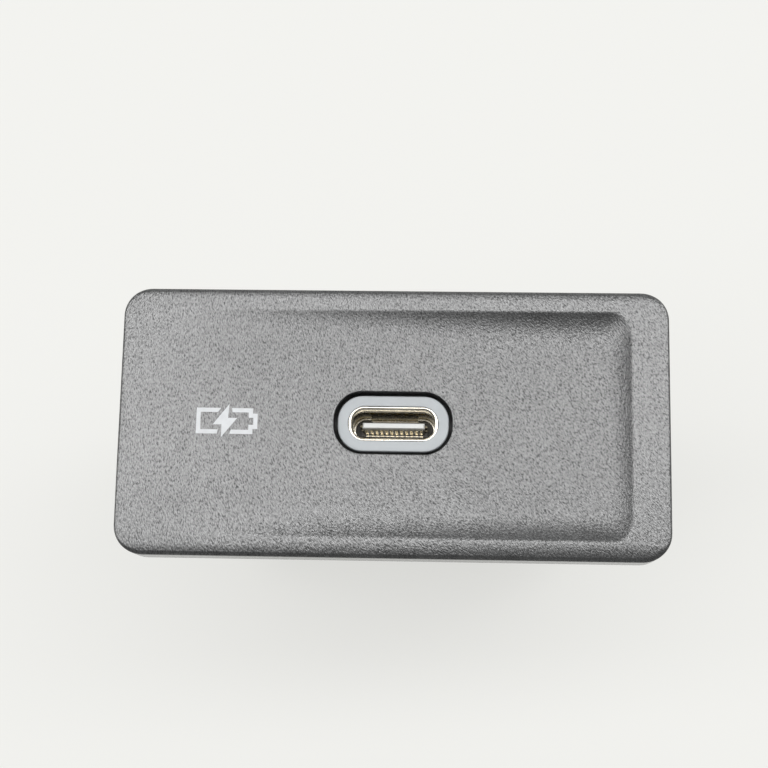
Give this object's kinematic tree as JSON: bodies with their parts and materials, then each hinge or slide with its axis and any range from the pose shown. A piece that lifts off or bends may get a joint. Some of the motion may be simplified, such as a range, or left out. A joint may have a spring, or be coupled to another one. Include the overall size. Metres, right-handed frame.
{
  "type": "usb-c charging socket",
  "caption": "Panel-mount USB-C charging socket: dark grained bezel with a coved recess and grey port ring, on a black snap-in housing with a circuit board and rear harness plug.",
  "frame": {"origin": "on the axis of the USB-C port, in the plane where the bezel's rear rim rests on the panel", "axes": "+Z out of the front face along the port, +X along the bezel towards the deep end of the recess, +Y up the face"},
  "size_m": [0.0544, 0.0266, 0.0484],
  "materials": {
    "bezel_plastic": "fine moulded grain, satin",
    "ring_plastic": "smooth translucent light grey",
    "housing_plastic": "black glass-filled nylon, matte",
    "port_steel": "drawn stainless steel, bright",
    "insulator_plastic": "pale moulded liquid-crystal polymer",
    "contact_gold": "gold plated",
    "board_laminate": "green solder mask over glass laminate",
    "led_resin": "pale yellow resin",
    "tinned_metal": "matte tin plate",
    "ferrite": "pressed powder core, matte",
    "can_aluminium": "bare drawn aluminium",
    "chip_epoxy": "moulded black epoxy",
    "copper_wire": "enamelled copper wire",
    "ceramic": "fired tan ceramic",
    "resistor_film": "dark glazed film"
  },
  "bodies": {
    "root": {"front_bezel": "bezel_plastic", "port_surround": "ring_plastic", "rear_housing": "housing_plastic", "receptacle_shell": "port_steel", "receptacle_bracket": "port_steel", "receptacle_insulator": "insulator_plastic", "emi_collar": "port_steel", "mid_plate": "port_steel", "upper_contacts": "contact_gold", "lower_contacts": "contact_gold", "circuit_board": "board_laminate", "backlight_leds": "led_resin", "harness_header": "housing_plastic", "harness_pins": "tinned_metal", "power_inductor": "ferrite", "inductor_terminals": "tinned_metal", "capacitor_can": "can_aluminium", "capacitor_base": "chip_epoxy", "converter_chip": "chip_epoxy", "converter_leads": "tinned_metal", "port_controller": "chip_epoxy", "choke_core": "ferrite", "choke_winding": "copper_wire", "surge_diode": "chip_epoxy", "diode_leads": "tinned_metal", "ceramic_capacitors": "ceramic", "chip_resistors": "resistor_film"}
  },
  "joints": []
}
